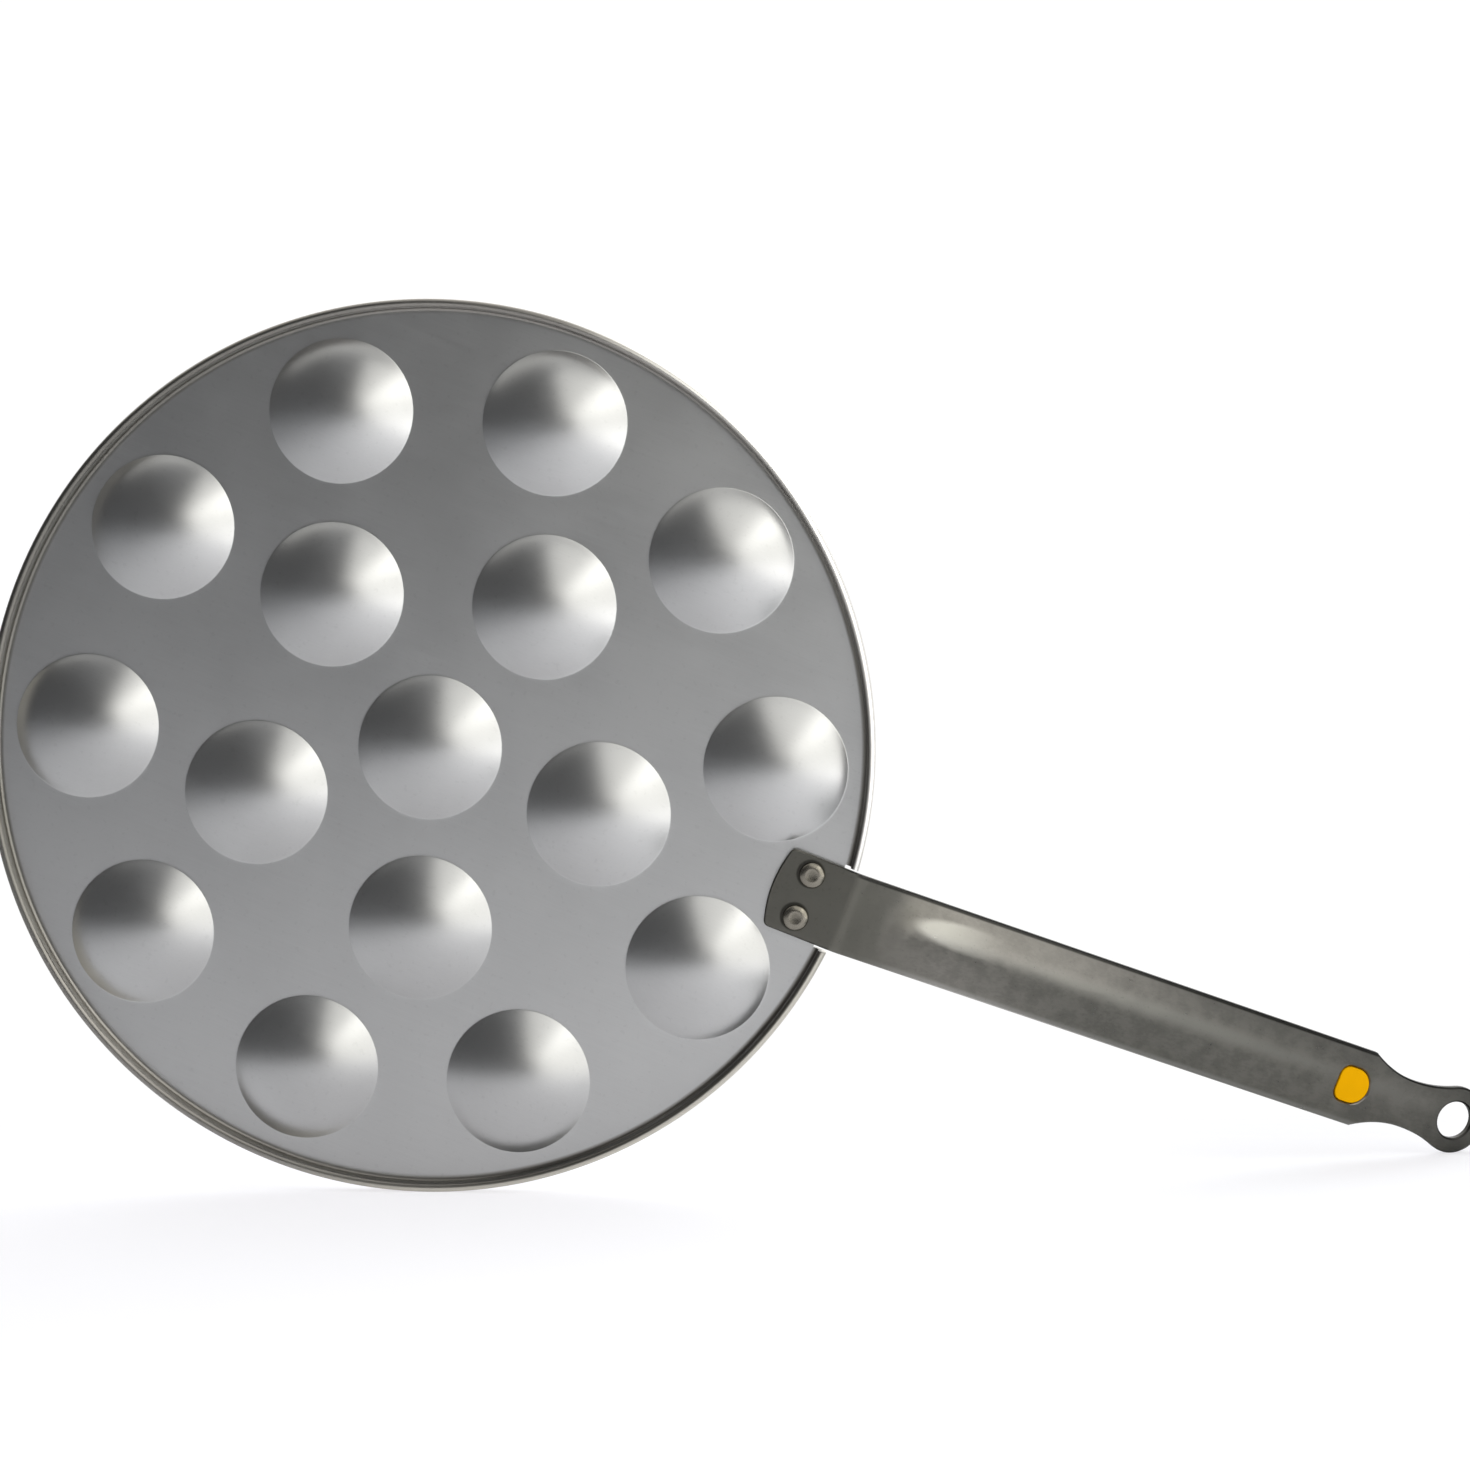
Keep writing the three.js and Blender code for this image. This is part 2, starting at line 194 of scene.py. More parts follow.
# The prop floor's glow: as the steel mirrors it, as the camera sees it, and as it lights the rest
FLOOR_GLOW = 0.41
FLOOR_SLOPE = 1.0  # how much brighter the mirrored glow gets in a metre to the right
SLOPE_LOW, SLOPE_HIGH = 0.2, 2.0
FLOOR_SHADE = 1.0  # how much of the mirrored glow the shade by the handle takes away
FLOOR_FRONT = 0.2  # how much of the mirrored glow is left far in front
FLOOR_LIFT = 0.64
FLOOR_DROP = 0.085  # a painted shadow: how much less the camera sees by the handle's eye
FLOOR_OUTSIDE = 0.4  # how much more it sees beyond the picture's sides
FLOOR_FILL = 0.45
FLOOR_MATT = 0.45
FLOOR_COOLNESS = 0.03
FLOOR_TINT = (1.015, 0.995, 1.03, 1)
REST_GLOW = 0.55
REST_MATT = 0.5
REST_DROP = 0.2 * MM  # keeps the rest floor clear of the bulges

# The floors, from corner to corner of their plans, in metres
PROP_FLOOR = ((-2.5, -3.5), (2.5, 0.2))
REST_FLOOR = ((-4, -4), (4, 4))

# Where the prop floor changes, in metres to the right of the pan's middle or towards the camera
SHADE_RIGHT = (0.17, 0.25)
SHADE_FRONT = (0.12, 0.22)
DIM_FRONT = (0.7, 1.8)
EYE_RIGHT = 0.28
EYE_SHADOW = (0.0, 0.2)
BEYOND_SIDES = (0.45, 0.7)
FLOOR_END = (0.11, 0.19)  # away from the camera


def arc(centre, radius, start, end, steps):
    """Points of an arc in a plane, both ends included."""
    turns = [start + (end - start) * i / steps for i in range(steps + 1)]
    return [(centre[0] + radius * cos(a), centre[1] + radius * sin(a)) for a in turns]


def chain(shape, points):
    """A row of vertices joined by edges."""
    row = [shape.verts.new(p) for p in points]
    return row + [shape.edges.new(pair) for pair in zip(row, row[1:])]


def spun(section, steps):
    """A section of (radius, height) points, turned right round the upright axis."""
    shape = bmesh.new()
    row = chain(shape, [(r, 0, z) for r, z in section])
    bmesh.ops.spin(shape, geom=row, cent=(0, 0, 0), axis=(0, 0, 1), angle=2 * pi, steps=steps,
                   use_merge=True)
    bmesh.ops.remove_doubles(shape, verts=shape.verts, dist=TOUCHING)
    return shape


def add_copies(shape, part, places):
    """Copies of a part, at places on the plan."""
    mesh = bpy.data.meshes.new("copy")
    part.to_mesh(mesh)
    part.free()
    for x, y in places:
        mesh.transform(Matrix.Translation((x, y, 0)))
        shape.from_mesh(mesh)
        mesh.transform(Matrix.Translation((-x, -y, 0)))
    bpy.data.meshes.remove(mesh)


def ring_places():
    """The middle cavity, the inner ring of five and the outer ring of ten."""
    inner = [(INNER_RING * cos(2 * pi * i / 5), INNER_RING * sin(2 * pi * i / 5)) for i in range(5)]
    turn = pi / 10
    outer = [(OUTER_RING * cos(turn + pi * i / 5), OUTER_RING * sin(turn + pi * i / 5)) for i in range(10)]
    return [(0, 0)] + inner + outer


def bowl_section(sphere, centre, face, rounding, steps):
    """From the lowest point of a bowl up its sphere, over a small rounding and out onto a flat face."""
    round_z = face - rounding
    round_r = sqrt((sphere + rounding) ** 2 - (centre - round_z) ** 2)
    meet = atan2(round_z - centre, round_r)
    wall = arc((0, centre), sphere, -pi / 2, meet, steps)
    foot = arc((round_r, round_z), rounding, meet + pi, pi / 2, steps=5)
    return [(0, wall[0][1])] + wall[1:] + foot[1:] + [(round_r + LAND, face)]


def rim_section():
    """From the flat underside round the folded rim and its lip, and back onto the cooking face."""
    fold = (FOLD_AT, UNDERSIDE - RIM_BEND)
    return (
        [(FOLD_AT - LAND, UNDERSIDE)]
        + arc(fold, RIM_BEND, pi / 2, 0, steps=7)
        + arc((PAN_RADIUS - SHEET + LIP_ROUND, LIP_AT), LIP_ROUND, pi, 1.5 * pi, steps=4)
        + arc((PAN_RADIUS - LIP_ROUND, LIP_AT), LIP_ROUND, 1.5 * pi, 2 * pi, steps=4)
        + arc(fold, RIM_BEND + SHEET, 0, pi / 2, steps=9)
        + [(FOLD_AT - LAND, COOKING_FACE)]
    )


def once(items):
    """Each item once, in the order that they first come in."""
    return list(dict.fromkeys(items))


def level_edges(shape, height):
    """Open or loose edges that lie at one height."""
    return [e for e in shape.edges if len(e.link_faces) < 2
            and all(abs(v.co.z - height) < TOUCHING for v in e.verts)]


def cut_notch(shape):
    """Takes the rim away where the handle leaves it, and closes the three cut walls."""
    sides = [((0, side * NOTCH_HALF, 0), (0, 1, 0)) for side in (1, -1)]
    cuts = sides + [((NOTCH_AT, 0, 0), (1, 0, 0))]
    for point, normal in cuts:
        near = [f for f in shape.faces if max(v.co.x for v in f.verts) > NOTCH_AT - LAND
                and min(abs(v.co.y) for v in f.verts) < NOTCH_HALF + LAND]
        parts = near + once(e for f in near for e in f.edges) + once(v for f in near for v in f.verts)
        bmesh.ops.bisect_plane(shape, geom=parts, dist=TOUCHING, plane_co=point, plane_no=normal)
    gone = [f for f in shape.faces if f.calc_center_median().x > NOTCH_AT
            and abs(f.calc_center_median().y) < NOTCH_HALF]
    bmesh.ops.delete(shape, geom=gone, context="FACES")
    for side in (-1, 1):
        corner = [v for v in shape.verts if v.is_boundary and abs(v.co.x - NOTCH_AT) < ON_PLANE
                  and abs(v.co.y - side * NOTCH_HALF) < ON_PLANE]
        if len(corner) == 2:
            shape.edges.new(corner)
    for point, normal in cuts:
        wall = [e for e in shape.edges if len(e.link_faces) < 2
                and all(abs((v.co - Vector(point)).dot(Vector(normal))) < ON_PLANE for v in e.verts)
                and all(v.co.x > NOTCH_AT - ON_PLANE for v in e.verts)
                and all(abs(v.co.y) < NOTCH_HALF + ON_PLANE for v in e.verts)]
        bmesh.ops.triangle_fill(shape, use_beauty=True, edges=wall, normal=normal)


def pan_sheet():
    """The whole sheet: bowls on both faces, the rim, the flats between them, rivet holes and the notch."""
    shape = bmesh.new()
    sphere = (BULGE_RADIUS ** 2 + UNDERSIDE ** 2) / (2 * UNDERSIDE)
    places = ring_places()
    bulge = bowl_section(sphere, sphere, UNDERSIDE, BULGE_FOOT, BULGE_STEPS)
    cavity = bowl_section(sphere - SHEET, sphere, COOKING_FACE, CAVITY_LIP, CAVITY_STEPS)
    add_copies(shape, spun(bulge, BOWL_TURN), places)
    add_copies(shape, spun(cavity, BOWL_TURN), places)
    add_copies(shape, spun(rim_section(), RIM_TURN), [(0, 0)])
    for side in (-1, 1):
        holes = [Matrix.Translation((RIVET_AT, side * RIVET_SIDE, z)) for z in (UNDERSIDE, COOKING_FACE)]
        for hole in holes:
            bmesh.ops.create_circle(shape, segments=HOLE_TURN, radius=RIVET_SHANK + PLUG_GAP, matrix=hole)
    for face in (UNDERSIDE, COOKING_FACE):
        bmesh.ops.triangle_fill(shape, use_beauty=True, edges=level_edges(shape, face), normal=(0, 0, 1))
    rivet_edges = [e for e in shape.edges if e.is_boundary]
    for side in (-1, 1):
        walls = [e for e in rivet_edges if all(v.co.y * side > 0 for v in e.verts)]
        bmesh.ops.bridge_loops(shape, edges=walls)
    cut_notch(shape)
    bmesh.ops.recalc_face_normals(shape, faces=shape.faces)
    return shape


def strip_point(length, across, height):
    """A point of the unrolled strip, bent up at the pan's edge and pressed into a channel along the grip."""
    def eased(start, run):
        t = min(max((length - start) / run, 0), 1)
        return t * t * (3 - 2 * t)
    share = eased(CHANNEL_START, CHANNEL_RUN_IN) - eased(CHANNEL_END - CHANNEL_RUN_OUT, CHANNEL_RUN_OUT)
    crest = hypot(1, CHANNEL_RIDGE) - CHANNEL_RIDGE
    slant = (hypot(across / STRIP_HALF, CHANNEL_RIDGE) - CHANNEL_RIDGE) / crest
    height -= CHANNEL_DEPTH * share * (1 - slant)
    turn = HANDLE_RISE * min(max((length + BEND_HALF) / (2 * BEND_HALF), 0), 1)
    if length <= -BEND_HALF:
        x, z = BEND_AT + length, STRIP_MIDDLE
    elif length >= BEND_HALF:
        x, z = BEND_AT + length * cos(HANDLE_RISE), STRIP_MIDDLE + length * sin(HANDLE_RISE)
    else:
        x = BEND_AT - BEND_HALF + HANDLE_BEND * sin(turn)
        z = STRIP_MIDDLE + HANDLE_BEND * (1 - cos(turn))
    return Vector((x - height * sin(turn), across, z + height * cos(turn)))


def curve(start, pull, end, steps):
    """Points of a curve that leaves its start and reaches its end along lines through the pull point."""
    points = []
    for i in range(steps + 1):
        t = i / steps
        points.append(tuple(a * (1 - t) ** 2 + 2 * b * t * (1 - t) + c * t * t
                            for a, b, c in zip(start, pull, end)))
    return points


def neck_outline():
    """One side of the grip's end, from its shoulder along the neck to the far point of the eye."""
    meet = (EYE_AT + EYE_RADIUS * cos(EYE_BLEND), EYE_RADIUS * sin(EYE_BLEND))
    pull = meet[0] + (meet[1] - NECK_HALF) * tan(EYE_BLEND)
    neck = (NECK_AT, NECK_HALF)
    hollow = curve((GRIP_LENGTH, STRIP_HALF), ((GRIP_LENGTH + NECK_AT) / 2, NECK_HALF), neck, steps=14)
    flare = curve(neck, (pull, NECK_HALF), meet, steps=12)
    eye = arc((EYE_AT, 0), EYE_RADIUS, EYE_BLEND, 0, steps=28)
    return hollow + flare[1:] + eye[1:]


def plug_outline(margin):
    """The plug's outline grown by a margin: round towards the eye, flat towards the pan."""
    half, corner = PLUG_HALF + margin, PLUG_CORNER + margin
    inset = half - corner
    return (
        arc((PLUG_AT, 0), half, -pi / 2, pi / 2, steps=28)
        + arc((PLUG_AT - inset, inset), corner, pi / 2, pi, steps=10)[1:]
        + arc((PLUG_AT - inset, -inset), corner, pi, 1.5 * pi, steps=10)[:-1]
    )


def loop(shape, points, height):
    """A closed ring of edges at one height."""
    row = [shape.verts.new((x, y, height)) for x, y in points]
    return [shape.edges.new((a, b)) for a, b in zip(row, row[1:] + row[:1])]


def cut_edge_in_shade(x, y):
    """Whether a point of the strip's cut edge gets painted shade: one long side, and the eye's hole."""
    in_eye_hole = hypot(x - EYE_AT, y) < EYE_HOLE + NEAR_HOLE
    in_plug_hole = max(abs(x - PLUG_AT), abs(y)) < PLUG_HALF + NEAR_HOLE
    return in_eye_hole or (y < 0 and x > -BEND_HALF and not in_plug_hole)


def handle_strip():
    """The strip laid out flat on its middle plane, filled, edged, closed, and then bent to shape."""
    shape = bmesh.new()
    low = -STRIP / 2
    start, end = -BEND_HALF - LAND, CHANNEL_END + LAND
    grid = bmesh.ops.create_grid(shape, x_segments=GRIP_STEPS, y_segments=GRIP_ACROSS, size=1)
    for v in grid["verts"]:
        v.co = ((start + end) / 2 + v.co.x * (end - start) / 2, v.co.y * STRIP_HALF, low)
    first = [e for e in shape.edges if all(abs(v.co.x - start) < TOUCHING for v in e.verts)]
    last = [e for e in shape.edges if all(abs(v.co.x - end) < TOUCHING for v in e.verts)]

    def corner(x, y):
        return min(shape.verts, key=lambda v: hypot(v.co.x - x, v.co.y - y))

    flange_x = FLANGE_AT - BEND_AT
    lean = asin(STRIP_HALF / FLANGE_END_RADIUS)
    centre = (flange_x + FLANGE_END_RADIUS * cos(lean), 0)
    trim = lean - FLANGE_CORNER / FLANGE_END_RADIUS
    flange = arc(centre, FLANGE_END_RADIUS, pi - trim, pi + trim, steps=24)
    turned = curve((flange_x + FLANGE_CORNER, STRIP_HALF), (flange_x, STRIP_HALF), flange[0], steps=5)[:-1]
    flange = turned + flange + [(x, -y) for x, y in reversed(turned)]
    row = [corner(start, STRIP_HALF)] + [shape.verts.new((x, y, low)) for x, y in flange]
    row.append(corner(start, -STRIP_HALF))
    first += [shape.edges.new(pair) for pair in zip(row, row[1:])]
    for side in (-1, 1):
        middle = (RIVET_AT - BEND_AT, side * RIVET_SIDE)
        first += loop(shape, arc(middle, RIVET_SHANK + PLUG_GAP, 0, 2 * pi, HOLE_TURN)[:-1], low)
    bmesh.ops.triangle_fill(shape, use_beauty=True, edges=first, normal=(0, 0, -1))

    side = neck_outline()
    outline = side + [(x, -y) for x, y in side[-2::-1]]
    row = [corner(end, STRIP_HALF)] + [shape.verts.new((x, y, low)) for x, y in outline]
    row.append(corner(end, -STRIP_HALF))
    last += [shape.edges.new(pair) for pair in zip(row, row[1:])]
    last += loop(shape, plug_outline(PLUG_GAP), low)
    last += loop(shape, arc((EYE_AT, 0), EYE_HOLE, 0, 2 * pi, EYE_TURN)[:-1], low)
    bmesh.ops.triangle_fill(shape, use_beauty=True, edges=last, normal=(0, 0, -1))

    bmesh.ops.recalc_face_normals(shape, faces=shape.faces)
    if shape.faces[0].normal.z > 0:
        bmesh.ops.reverse_faces(shape, faces=shape.faces)
    bmesh.ops.inset_region(shape, faces=shape.faces, thickness=STRIP_EDGE, use_even_offset=True,
                           use_boundary=True)
    rounded = [v for v in shape.verts if v.is_boundary]
    within = [f for f in shape.faces if not any(v.is_boundary for v in f.verts)]
    bmesh.ops.inset_region(shape, faces=within, thickness=STRIP_EDGE / 2, use_even_offset=True,
                           use_boundary=True)
    for v in rounded:
        v.co.z += STRIP_EDGE
    walls = bmesh.ops.extrude_edge_only(shape, edges=[e for e in shape.edges if e.is_boundary])
    for v in walls["geom"]:
        if isinstance(v, bmesh.types.BMVert):
            v.co.z = 0
    whole = shape.verts[:] + shape.edges[:] + shape.faces[:]
    bmesh.ops.mirror(shape, geom=whole, axis="Z", merge_dist=TOUCHING)
    bmesh.ops.recalc_face_normals(shape, faces=shape.faces)
    cut_edge_shade = shape.verts.layers.float.new(SHADED_CUT_EDGE)
    for v in shape.verts:
        if abs(v.co.z) < STRIP / 2 - ON_PLANE and cut_edge_in_shade(v.co.x, v.co.y):
            for near in [v] + [e.other_vert(v) for e in v.link_edges]:
                near[cut_edge_shade] = 1
    for v in shape.verts:
        v.co = strip_point(v.co.x, v.co.y, v.co.z)
    return shape


def rivet(side):
    """A rivet: a round head under the flange, dimpled on its flat, and a lower head on the cooking face."""
    foot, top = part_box("rivet_far")[0].z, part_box("rivet_far")[1].z
    section = (
        [(0, foot + RIVET_DIMPLE), (RIVET_FLAT - RIVET_EDGE, foot + RIVET_SHOULDER), (RIVET_FLAT, foot)]
        + curve((RIVET_FLAT + RIVET_CREST, foot), (RIVET_HEAD, foot + RIVET_SHOULDER),
                (RIVET_HEAD, FLANGE_UNDER - RIVET_EDGE / 2), steps=8)
        + [(RIVET_HEAD, FLANGE_UNDER), (RIVET_SHANK, FLANGE_UNDER), (RIVET_SHANK, COOKING_FACE)]
        + [(RIVET_HEAD, COOKING_FACE)]
        + curve((RIVET_HEAD, COOKING_FACE + RIVET_EDGE / 2), (RIVET_HEAD, top), (RIVET_FLAT, top), steps=8)
        + [(0, top)]
    )
    shape = spun(section, RIVET_TURN)
    bmesh.ops.translate(shape, verts=shape.verts, vec=(RIVET_AT, side * RIVET_SIDE, 0))
    bmesh.ops.recalc_face_normals(shape, faces=shape.faces)
    return shape


def plug():
    """The plug: a stem flush with the grip's lower face, and a flange over the hole on its upper face."""
    shape = bmesh.new()
    seat = STRIP / 2 + PLUG_GAP
    levels = [(0, -STRIP / 2), (0, seat), (PLUG_GAP + PLUG_FLANGE, seat),
              (PLUG_GAP + PLUG_FLANGE, seat + PLUG_FLANGE_THICKNESS)]
    rings = [loop(shape, plug_outline(margin), height) for margin, height in levels]
    for lower, upper in zip(rings, rings[1:]):
        bmesh.ops.bridge_loops(shape, edges=lower + upper)
    ends = bmesh.ops.holes_fill(shape, edges=rings[0] + rings[-1], sides=0)["faces"]
    sharp = once(e for f in ends for e in f.edges)
    bmesh.ops.bevel(shape, geom=sharp, affect="EDGES", offset=PLUG_EDGE, segments=3, profile=0.5,
                    material=-1)
    bmesh.ops.recalc_face_normals(shape, faces=shape.faces)
    for v in shape.verts:
        v.co = strip_point(v.co.x, v.co.y, v.co.z)
    return shape


def piece(name, shape, node, material):
    """A finished mesh as an object that stands for a CAD node."""
    for f in shape.faces:
        f.smooth = True
    for e in shape.edges:
        e.smooth = len(e.link_faces) == 2 and e.calc_face_angle(0) < SHARP
    mesh = bpy.data.meshes.new(name)
    shape.to_mesh(mesh)
    shape.free()
    mesh.materials.append(material)
    made = bpy.data.objects.new(name, mesh)
    bpy.context.scene.collection.objects.link(made)
    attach(made, "root")
    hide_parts(node)


def node(tree, kind, inputs=None, **settings):
    """A node with its settings, and its inputs set to values or joined to other sockets."""
    made = tree.nodes.new(kind)
    for key, value in settings.items():
        setattr(made, key, value)
    for key, value in (inputs or {}).items():
        if isinstance(value, bpy.types.NodeSocket):
            tree.links.new(value, made.inputs[key])
        else:
            made.inputs[key].default_value = value
    return made


def maths(tree, operation, *values):
    """The result of one sum on values or sockets."""
    return node(tree, "ShaderNodeMath", dict(enumerate(values)), operation=operation).outputs[0]


def overlap(tree, first, second):
    """Two shares multiplied."""
    return maths(tree, "MULTIPLY", first, second)


def rest_of(tree, share):
    """What a share leaves of the whole."""
    return maths(tree, "SUBTRACT", 1.0, share)


def spread(tree, value, low, high, to_low, to_high):
    """A value eased from one range to another."""
    made = node(tree, "ShaderNodeMapRange", {0: value, 1: low, 2: high, 3: to_low, 4: to_high},
                interpolation_type="SMOOTHSTEP")
    return made.outputs[0]


def fade_in(tree, value, reach, share=1):
    """A share that rises over a reach, from its first place to its second."""
    return spread(tree, value, *reach, 0, share)


def fade_out(tree, value, reach, share=1):
    """A share that falls over a reach, from its first place to its second."""
    return spread(tree, value, *reach, share, 0)


def noise(tree, place, scale, detail=2.0, roughness=0.5):
    """Cloudy noise, mostly near a half."""
    settings = {"Vector": place, "Scale": scale, "Detail": detail, "Roughness": roughness}
    return node(tree, "ShaderNodeTexNoise", settings).outputs[0]


def along(tree, point, direction):
    """How far a point lies along a direction."""
    made = node(tree, "ShaderNodeVectorMath", {0: point, 1: direction}, operation="DOT_PRODUCT")
    return made.outputs["Value"]


def blend(tree, share, first, second):
    """Two colours mixed by a share."""
    made = node(tree, "ShaderNodeMix", data_type="RGBA")
    for socket, value in (("Factor_Float", share), ("A_Color", first), ("B_Color", second)):
        target = next(s for s in made.inputs if s.identifier == socket)
        if isinstance(value, bpy.types.NodeSocket):
            tree.links.new(value, target)
        else:
            target.default_value = value
    return next(s for s in made.outputs if s.identifier == "Result_Color")


def grey(level, warmth=0.0):
    """A near-neutral colour, warmer or cooler than grey."""
    return (level * (1 + warmth), level, level * (1 - warmth), 1)


def steel_grain():
    """What every steel surface here shares: drawn streaks, cloudy mottling and small specks."""
    group = bpy.data.node_groups.new("steel_grain", "ShaderNodeTree")
    group.interface.new_socket("Position", in_out="INPUT", socket_type="NodeSocketVector")
    for name in ("Streak Scale", "Mottle Scale", "Speck Scale"):
        group.interface.new_socket(name, in_out="INPUT", socket_type="NodeSocketFloat")
    for name in ("Streaks", "Mottle", "Specks"):
        group.interface.new_socket(name, in_out="OUTPUT", socket_type="NodeSocketFloat")
    given = node(group, "NodeGroupInput").outputs
    results = node(group, "NodeGroupOutput").inputs
    place = given["Position"]
    drawn = node(group, "ShaderNodeMapping", {"Vector": place, "Scale": STREAK_STRETCH}).outputs[0]
    streaks = noise(group, drawn, given["Streak Scale"], detail=3.0, roughness=0.6)
    mottle = noise(group, place, given["Mottle Scale"], detail=4.0, roughness=0.55)
    specks = fade_in(group, noise(group, place, given["Speck Scale"]), SPECK_REACH)
    for name, made in (("Streaks", streaks), ("Mottle", mottle), ("Specks", specks)):
        group.links.new(made, results[name])
    return group


GRAIN = steel_grain()


def steel(name, light, dark, rough, rough_spread, streak_scale, mottle_scale, speck_scale, speck_depth, bump,
          painted_shading):
    """A steel finish: mottled tone, streaked roughness, dark specks, a fine bump, and painted shade and
    highlights in places.
    """
    made = bpy.data.materials.new(name)
    made.use_nodes = True
    tree = made.node_tree
    shader = tree.nodes["Principled BSDF"].inputs
    shader["Metallic"].default_value = 1.0
    place = node(tree, "ShaderNodeTexCoord").outputs["Object"]
    grain = node(tree, "ShaderNodeGroup", node_tree=GRAIN)
    tree.links.new(place, grain.inputs["Position"])
    grain.inputs["Streak Scale"].default_value = streak_scale
    grain.inputs["Mottle Scale"].default_value = mottle_scale
    grain.inputs["Speck Scale"].default_value = speck_scale
    streaks, mottle, specks = (grain.outputs[key] for key in ("Streaks", "Mottle", "Specks"))

    uneven = maths(tree, "MULTIPLY_ADD", maths(tree, "SUBTRACT", streaks, 0.5), STREAKS_IN_TONE, mottle)
    colour = blend(tree, fade_in(tree, uneven, TONE_REACH), dark, light)
    # painted shade and highlights laid over the steel's tone
    for share, painted_tone in painted_shading(tree, place):
        colour = blend(tree, share, colour, painted_tone)
    colour = blend(tree, maths(tree, "MULTIPLY", specks, speck_depth), colour, grey(SPECK_LEVEL))
    tree.links.new(colour, shader["Base Color"])

    patchy = maths(tree, "ADD", streaks, mottle)
    roughness = spread(tree, patchy, *PATCH_REACH, rough - rough_spread, rough + rough_spread)
    tree.links.new(roughness, shader["Roughness"])
    relief = node(tree, "ShaderNodeBump", {"Strength": bump, "Distance": STEEL_RELIEF, "Height": streaks})
    tree.links.new(relief.outputs[0], shader["Normal"])
    return made


def distance(tree, x, y, at=(0, 0), half=(1, 1)):
    """How far a point of the plan lies from a place, measured in half sizes of an oval."""
    x = maths(tree, "MULTIPLY", maths(tree, "SUBTRACT", x, at[0]), 1 / half[0])
    y = maths(tree, "MULTIPLY", maths(tree, "SUBTRACT", y, at[1]), 1 / half[1])
    squares = maths(tree, "ADD", maths(tree, "MULTIPLY", x, x), maths(tree, "MULTIPLY", y, y))
    return maths(tree, "SQRT", squares)


def coordinates(tree, place):
    """A place's three coordinates: along the handle, across it, and up."""
    return node(tree, "ShaderNodeSeparateXYZ", {0: place}).outputs[:3]


def rim_painted_shading(tree, place):
    """Painted shade and highlights on the rim: painted shade on the wall, deeper by the handle and opposite
    it, and a painted highlight on the lip.

    By the handle, the wall's painted shade is left out of the bulges' mirror, which shows the sheet's own
    tone there, and the lip's painted highlight is brighter on the side uppermost in front of the camera.
    """
    ahead, across, up = coordinates(tree, place)
    radius = distance(tree, ahead, across)
    outer = fade_in(tree, radius, (FOLD_AT - 1 * MM, FOLD_AT + 0.4 * MM))
    by_handle = fade_in(tree, ahead, (0.1 * PAN_RADIUS, 0.8 * PAN_RADIUS))
    opposite = fade_out(tree, ahead, (-0.9 * PAN_RADIUS, -0.3 * PAN_RADIUS))
    # the painted wall shade by the handle is left out of mirrored rays
    mirrored = overlap(tree, node(tree, "ShaderNodeLightPath").outputs["Is Glossy Ray"], by_handle)
    wall = overlap(tree, outer, fade_out(tree, up, (UNDERSIDE, COOKING_FACE)))
    wall = overlap(tree, wall, rest_of(tree, mirrored))
    # painted highlight on the lip, brighter on the side uppermost in front of the camera
    lip = fade_in(tree, radius, (PAN_RADIUS - 2 * MM, PAN_RADIUS - 1 * MM))
    lip = overlap(tree, lip, fade_in(tree, ahead, (-0.1 * PAN_RADIUS, 0.35 * PAN_RADIUS)))
    uppermost = overlap(tree, fade_out(tree, up, (LIP_AT, LIP_AT + 0.8 * MM)),
                        fade_out(tree, across, (-0.1 * PAN_RADIUS, 0.05 * PAN_RADIUS)))
    bright_lip = overlap(tree, lip, uppermost)
    return [
        # painted shade on the rim's wall, deeper by the handle and opposite it
        (wall, WALL_SHADE),
        (overlap(tree, wall, by_handle), WALL_SHADE_BY_HANDLE),
        (overlap(tree, wall, opposite), WALL_SHADE_OPPOSITE),
        # painted highlights on the lip
        (overlap(tree, wall, lip), PALE_LIP_HIGHLIGHT),
        (overlap(tree, wall, bright_lip), BRIGHT_LIP_HIGHLIGHT),
    ]


